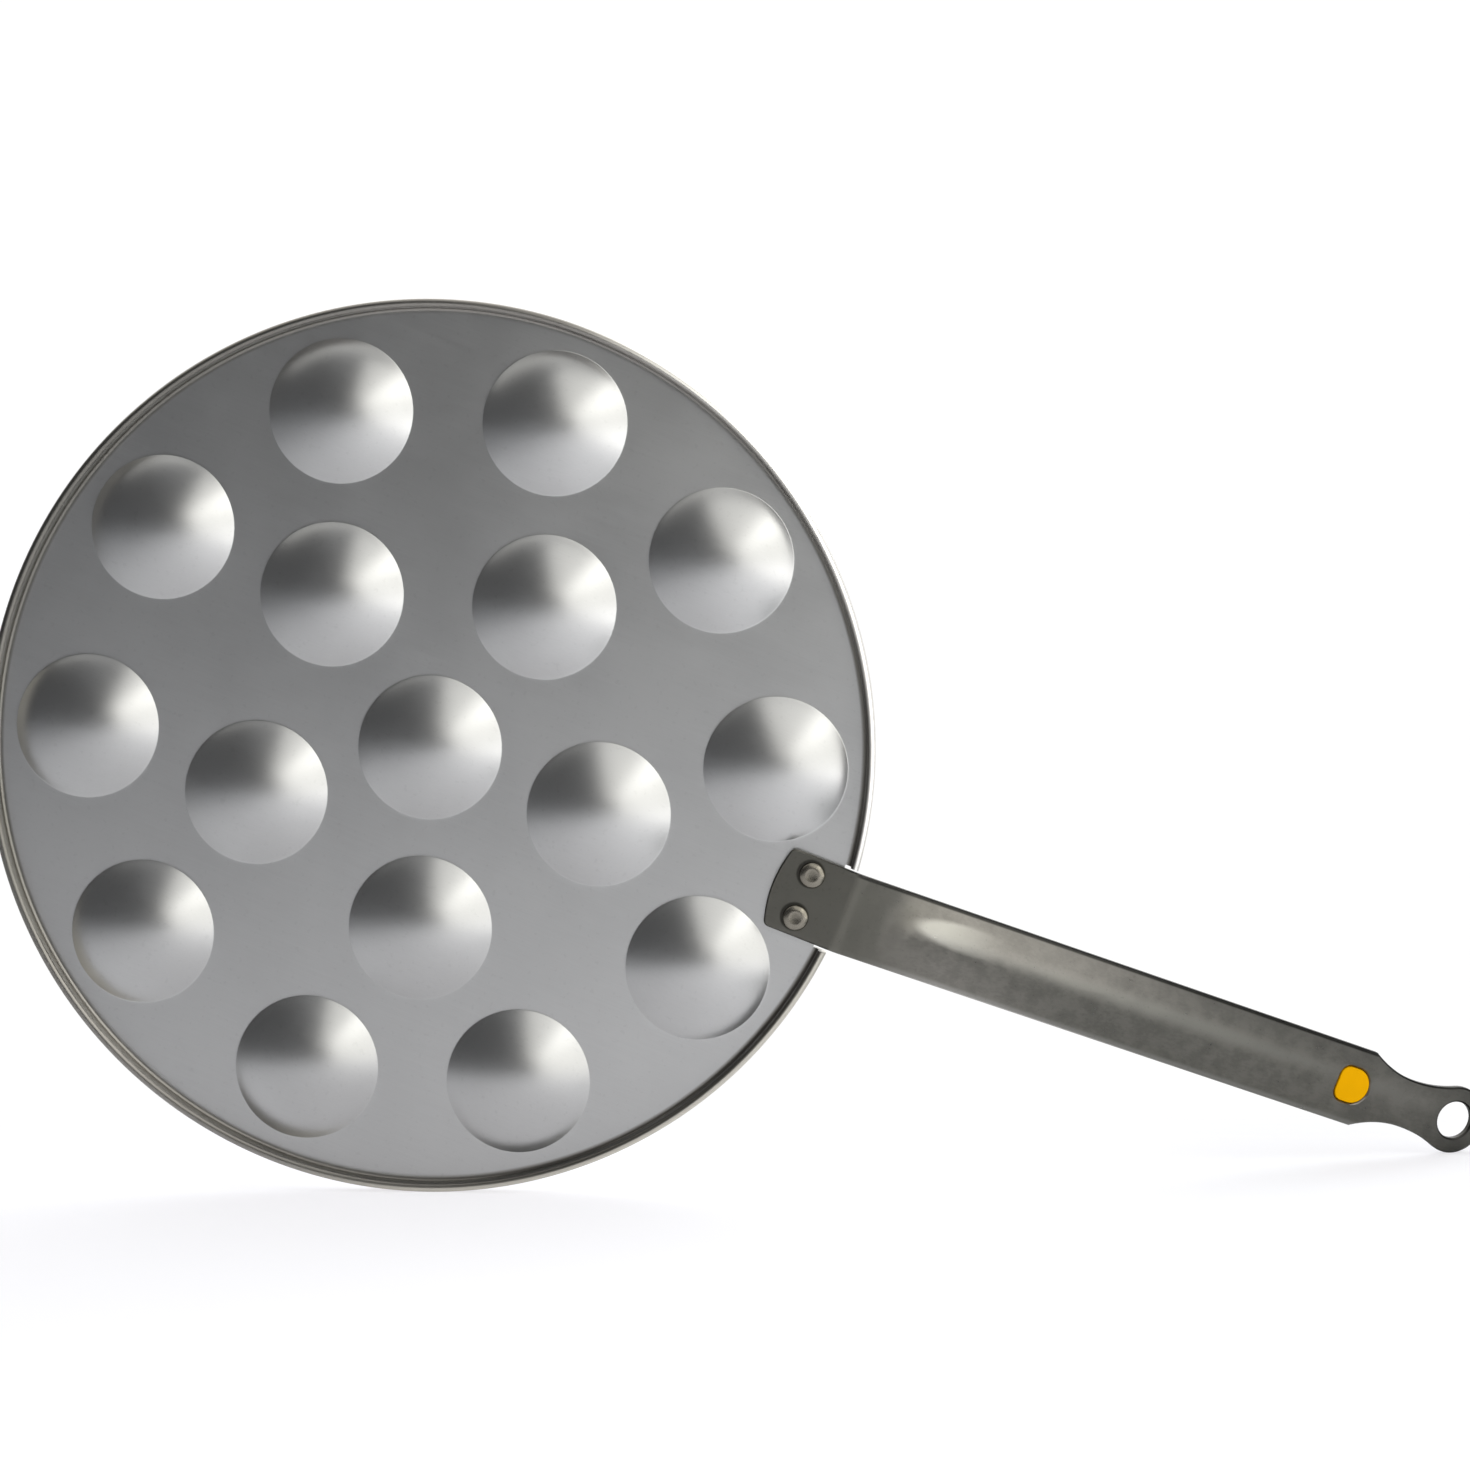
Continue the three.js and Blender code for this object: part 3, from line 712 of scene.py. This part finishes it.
def handle_painted_shading(tree, place):
    """Painted shade on the flange, the eye, the side uppermost to the camera, the cut edges and round the
    rivets; painted highlights along the grip's crown and on the neck; a lighter band along the other
    long edge.
    """
    ahead, across, _ = coordinates(tree, place)

    def oval(at, half, reach, share=1):
        return fade_out(tree, distance(tree, ahead, across, at, half), reach, share)

    # painted shade on the flange and the start of the grip
    flange = fade_out(tree, ahead, (BEND_AT, BEND_AT + 38 * MM), share=0.92)
    # painted shade on the eye, for the floor's contact shadow that it mirrors
    eye = fade_in(tree, ahead, (HANDLE_HIGH.x - 24 * MM, HANDLE_HIGH.x - 5 * MM), share=0.5)
    # painted sheen along the neck
    neck = oval(at=(HANDLE_HIGH.x - 32 * MM, -2 * MM), half=(16 * MM, 7 * MM), reach=(0.2, 1.1), share=0.4)
    # lighter towards the long edge on the +y side
    lighter_edge = fade_in(tree, across, (STRIP_HALF - 2.2 * MM, STRIP_HALF - 0.8 * MM))
    shaded = overlap(tree, fade_in(tree, ahead, (BEND_AT + 28 * MM, BEND_AT + 52 * MM)),
                     fade_out(tree, across, (1 * MM - STRIP_HALF, -4 * MM), share=0.36))

    # painted highlight along the grip's crown, with a brighter head where the crown starts
    streak_highlight = oval(at=(BEND_AT + 108 * MM, -2.4 * MM), half=(95 * MM, 4 * MM), reach=(0.1, 1.1), share=0.85)
    highlight_head = oval(at=(BEND_AT + 38 * MM, -4.2 * MM), half=(18 * MM, 4.4 * MM), reach=(0.75, 1.1))
    highlight_head = overlap(tree, highlight_head, fade_out(tree, ahead, (BEND_AT + 26 * MM, BEND_AT + 52 * MM)))

    # painted shade on the cut edge of the long side uppermost to the camera, and in the eye's hole
    long_side = overlap(tree, fade_out(tree, across, (0.8 * MM - STRIP_HALF, 1.4 * MM - STRIP_HALF)),
                        fade_in(tree, ahead, (BEND_AT - 2 * MM, BEND_AT)))
    cut_edge_shade = node(tree, "ShaderNodeAttribute", attribute_name=SHADED_CUT_EDGE).outputs["Fac"]
    edge = maths(tree, "MAXIMUM", cut_edge_shade, long_side)

    # painted shadow round the rivet heads on the flange
    beside = maths(tree, "ABSOLUTE", maths(tree, "ADD", across, 0.2 * MM))
    beside = maths(tree, "SUBTRACT", beside, RIVET_SIDE)
    ring = fade_out(tree, distance(tree, ahead, beside, at=(RIVET_AT - 0.5 * MM, 0)),
                    (RIVET_HEAD + 0.1 * MM, RIVET_HEAD + 0.8 * MM), share=0.85)
    return [
        (lighter_edge, LIGHTER_EDGE_TONE),
        (flange, FLANGE_SHADE),
        (shaded, SHADED_SIDE),
        (streak_highlight, STREAK_HIGHLIGHT),
        (highlight_head, STREAK_HEAD_HIGHLIGHT),
        (neck, NECK_SHEEN),
        (eye, EYE_SHADE),
        (ring, RIVET_SHADOW),
        (edge, EDGE_SHADE),
    ]


def rivet_painted_shading(tree, place):
    """Painted shade on a rivet: low on the side of its larger head, where it meets the flange, and in the
    middle.
    """
    ahead, across, up = coordinates(tree, place)
    foot = overlap(tree, fade_in(tree, up, (FLANGE_UNDER - 0.7 * MM, FLANGE_UNDER - 0.2 * MM)),
                   fade_out(tree, up, (FLANGE_UNDER, FLANGE_UNDER + 0.5 * MM)))
    beside = maths(tree, "SUBTRACT", maths(tree, "ABSOLUTE", across), RIVET_SIDE)
    radius = distance(tree, ahead, beside, at=(RIVET_AT, 0))
    return [(fade_out(tree, radius, (0.8 * MM, RIVET_FLAT), share=0.5), DIMPLE_SHADE), (foot, RIVET_FOOT_SHADE)]


def plug_plastic():
    """Matte yellow plastic, with a faint cloudiness and a fine moulded surface."""
    made = bpy.data.materials.new("yellow_plastic")
    made.use_nodes = True
    tree = made.node_tree
    shader = tree.nodes["Principled BSDF"].inputs
    shader["Specular IOR Level"].default_value = 0.02
    place = node(tree, "ShaderNodeTexCoord").outputs["Object"]
    cloud = noise(tree, place, 300.0, detail=3.0)
    tree.links.new(blend(tree, cloud, YELLOW_LOW, YELLOW_HIGH), shader["Base Color"])
    tree.links.new(spread(tree, cloud, 0.3, 0.7, 0.6, 0.7), shader["Roughness"])
    moulded = noise(tree, place, 2500.0)
    relief = node(tree, "ShaderNodeBump", {"Strength": 0.15, "Distance": PLASTIC_RELIEF, "Height": moulded})
    tree.links.new(relief.outputs[0], shader["Normal"])
    return made


pan_steel = steel(
    "pan_steel", light=grey(0.585), dark=grey(0.555), rough=0.315, rough_spread=0.02, streak_scale=60,
    mottle_scale=25, speck_scale=600, speck_depth=0.05, bump=0.03, painted_shading=rim_painted_shading)
handle_steel = steel(
    "handle_steel", light=(0.252, 0.241, 0.219, 1), dark=(0.199, 0.190, 0.173, 1), rough=0.32,
    rough_spread=0.05, streak_scale=30, mottle_scale=190, speck_scale=900, speck_depth=0.1, bump=0.08,
    painted_shading=handle_painted_shading)
rivet_steel = steel(
    "rivet_steel", light=(0.28, 0.26, 0.22, 1), dark=(0.255, 0.236, 0.20, 1), rough=0.26, rough_spread=0.01,
    streak_scale=20, mottle_scale=90, speck_scale=1200, speck_depth=0.03, bump=0.01, painted_shading=rivet_painted_shading)
yellow_plastic = plug_plastic()

piece("pan_sheet", pan_sheet(), "pan_body", pan_steel)
piece("handle_strip", handle_strip(), "handle", handle_steel)
piece("near_rivet", rivet(-1), "rivet_near", rivet_steel)
piece("far_rivet", rivet(1), "rivet_far", rivet_steel)
piece("yellow_plug", plug(), "marker_plug", yellow_plastic)


def placed(origin, x_axis, y_axis, z_axis):
    """The matrix that puts an origin and three axes in their place."""
    return Matrix.Translation(origin) @ Matrix((x_axis, y_axis, z_axis)).transposed().to_4x4()


# The camera
camera_right = CAMERA_DOWN.cross(CAMERA_AHEAD).normalized()
camera_down = CAMERA_AHEAD.cross(camera_right)
camera = bpy.data.objects.new("camera", bpy.data.cameras.new("camera"))
camera.matrix_world = placed(CAMERA_AT, camera_right, -camera_down, -CAMERA_AHEAD)
camera.data.lens = CAMERA_LENS
camera.data.sensor_width = CAMERA_SENSOR
camera.data.clip_end = CAMERA_CLIP
bpy.context.scene.collection.objects.link(camera)
bpy.context.scene.camera = camera

# The studio, laid out as the camera sees it: right, up and towards the camera, from the pan's middle
studio_up = -(camera_down * cos(CAMERA_PITCH) + CAMERA_AHEAD * sin(CAMERA_PITCH))
studio_back = camera_down * sin(CAMERA_PITCH) - CAMERA_AHEAD * cos(CAMERA_PITCH)
studio = placed((0, 0, UNDERSIDE), camera_right, studio_up, studio_back)


def lamp(name, centre, facing, width, height, radiance):
    """A soft box of an even, slightly warm brightness, that the camera doesn't see itself."""
    made = bpy.data.objects.new(name, bpy.data.lights.new(name, "AREA"))
    made.data.shape = "RECTANGLE"
    made.data.size, made.data.size_y = width, height
    made.data.energy = radiance * pi * width * height
    made.data.color = LAMP_COLOUR
    turn = Vector(facing).to_track_quat("-Z", "Y").to_matrix().to_4x4()
    made.matrix_world = studio @ Matrix.Translation(centre) @ turn
    made.visible_camera = False
    bpy.context.scene.collection.objects.link(made)


lamp("right_softbox", centre=(0.51, 0.212, 1.31), facing=(-1, 0, 0), width=0.666, height=2.62,
     radiance=RIGHT_LIGHT)
lamp("upper_softbox", centre=(0.244, 0.25, 1.156), facing=(0, -1, 0), width=0.46, height=2.06,
     radiance=UPPER_LIGHT)
lamp("top_softbox", centre=(0.05, 0.30, -0.20), facing=(0, -1, 0), width=0.80, height=0.66,
     radiance=TOP_LIGHT)
lamp("back_softbox", centre=(0.10, 0.55, -0.90), facing=(0, -0.5, 0.85), width=0.9, height=0.9,
     radiance=BACK_LIGHT)


def stage_floor(name, corners, place):
    """A flat sheet of floor between two corners of a plan, with an empty material to fill in."""
    shape = bmesh.new()
    bmesh.ops.create_grid(shape, x_segments=1, y_segments=1, size=0.5)
    low, high = Vector(corners[0]), Vector(corners[1])
    fit = Matrix.Translation(((low + high) / 2).to_3d()) @ Matrix.Diagonal((*(high - low), 1, 1))
    bmesh.ops.transform(shape, matrix=place @ fit, verts=shape.verts)
    mesh = bpy.data.meshes.new(name)
    shape.to_mesh(mesh)
    shape.free()
    made = bpy.data.objects.new(name, mesh)
    material = bpy.data.materials.new(name)
    material.use_nodes = True
    material.node_tree.nodes.clear()
    mesh.materials.append(material)
    bpy.context.scene.collection.objects.link(made)
    return material.node_tree


def pale_floor(tree, colour, glow, hidden):
    """A matt pale floor with a glow of its own, clear where it is hidden."""
    matt = node(tree, "ShaderNodeBsdfDiffuse", {"Color": colour})
    lift = node(tree, "ShaderNodeEmission", {"Color": FLOOR_TINT, "Strength": glow})
    lit = node(tree, "ShaderNodeAddShader", {0: matt.outputs[0], 1: lift.outputs[0]})
    clear = node(tree, "ShaderNodeBsdfTransparent")
    shown = node(tree, "ShaderNodeMixShader", {0: hidden, 1: lit.outputs[0], 2: clear.outputs[0]})
    node(tree, "ShaderNodeOutputMaterial", {"Surface": shown.outputs[0]})


# What the rim and the handle's eye stand on in front of the camera: mirrored brighter to the right, near the
# softbox, but with a painted shade in the mirror by the handle and a painted shadow by the handle's eye, and
# faded out behind the pan
tree = stage_floor("prop_floor", PROP_FLOOR,
                   studio @ Matrix.Translation((0, -PROP_HEIGHT, 0)) @ Matrix.Rotation(-pi / 2, 4, "X"))
point = node(tree, "ShaderNodeTexCoord").outputs["Object"]
right, front = along(tree, point, camera_right), along(tree, point, studio_back)
slope = maths(tree, "MULTIPLY_ADD", right, FLOOR_SLOPE, 1.0)
slope = maths(tree, "MINIMUM", maths(tree, "MAXIMUM", slope, SLOPE_LOW), SLOPE_HIGH)
shade = overlap(tree, fade_in(tree, right, SHADE_RIGHT, FLOOR_SHADE), fade_out(tree, front, SHADE_FRONT))
mirrored = overlap(tree, maths(tree, "MULTIPLY", FLOOR_GLOW, slope), rest_of(tree, shade))
mirrored = overlap(tree, mirrored, spread(tree, front, *DIM_FRONT, 1.0, FLOOR_FRONT))
# painted shadow on the floor by the handle's eye
from_eye = maths(tree, "ABSOLUTE", maths(tree, "SUBTRACT", right, EYE_RIGHT))
by_eye = fade_out(tree, from_eye, EYE_SHADOW)
outside = fade_in(tree, maths(tree, "ABSOLUTE", right), BEYOND_SIDES, FLOOR_OUTSIDE)
lift = maths(tree, "ADD", outside, FLOOR_LIFT - FLOOR_FILL)
lift = maths(tree, "MULTIPLY_ADD", by_eye, -FLOOR_DROP, lift)
path = node(tree, "ShaderNodeLightPath").outputs
plain = maths(tree, "MULTIPLY_ADD", path["Is Camera Ray"], lift, FLOOR_FILL)
glow = maths(tree, "MULTIPLY_ADD", path["Is Glossy Ray"], maths(tree, "SUBTRACT", mirrored, plain), plain)
behind = node(tree, "ShaderNodeNewGeometry").outputs["Backfacing"]
far = fade_in(tree, along(tree, point, -studio_back), FLOOR_END)
pale_floor(tree, grey(FLOOR_MATT, -FLOOR_COOLNESS), glow, maths(tree, "MAXIMUM", behind, far))

# What the pan lies on at rest: only a camera above it sees it, so it never hides the underside
tree = stage_floor("rest_floor", REST_FLOOR, Matrix.Translation((0, 0, -REST_DROP)))
unseen = rest_of(tree, node(tree, "ShaderNodeLightPath").outputs["Is Camera Ray"])
behind = node(tree, "ShaderNodeNewGeometry").outputs["Backfacing"]
pale_floor(tree, grey(REST_MATT), REST_GLOW, maths(tree, "MAXIMUM", behind, unseen))

# The room: dark in front of the pan, a little lighter upwards and on the left, and white behind it
world = bpy.data.worlds.new("studio")
bpy.context.scene.world = world
world.use_nodes = True
sky = world.node_tree
sky.nodes.clear()
towards = node(sky, "ShaderNodeTexCoord").outputs["Generated"]
rise, away, left = (along(sky, towards, way) for way in (studio_up, -studio_back, -camera_right))
level = maths(sky, "MULTIPLY_ADD", maths(sky, "MAXIMUM", rise, 0.0), ROOM_RISE, ROOM_LEVEL)
on_left = overlap(sky, fade_in(sky, left, LEFT_REACH), fade_out(sky, away, FRONT_REACH))
level = maths(sky, "ADD", overlap(sky, level, rest_of(sky, on_left)), overlap(sky, on_left, ROOM_LEFT))
level = maths(sky, "ADD", level, fade_in(sky, away, BACKDROP_REACH, BACKDROP))
path = node(sky, "ShaderNodeLightPath").outputs
mirrored = overlap(sky, path["Is Glossy Ray"], fade_in(sky, away, MIRRORED_REACH))
seen = maths(sky, "MAXIMUM", path["Is Camera Ray"], path["Is Transmission Ray"])
seen = maths(sky, "MAXIMUM", seen, mirrored)
tint = blend(sky, seen, ROOM_TINT, grey(1.0))
backdrop = node(sky, "ShaderNodeBackground", {"Color": tint, "Strength": maths(sky, "MAXIMUM", seen, level)})
node(sky, "ShaderNodeOutputWorld", {"Surface": backdrop.outputs[0]})

bpy.context.scene.view_settings.view_transform = "Standard"
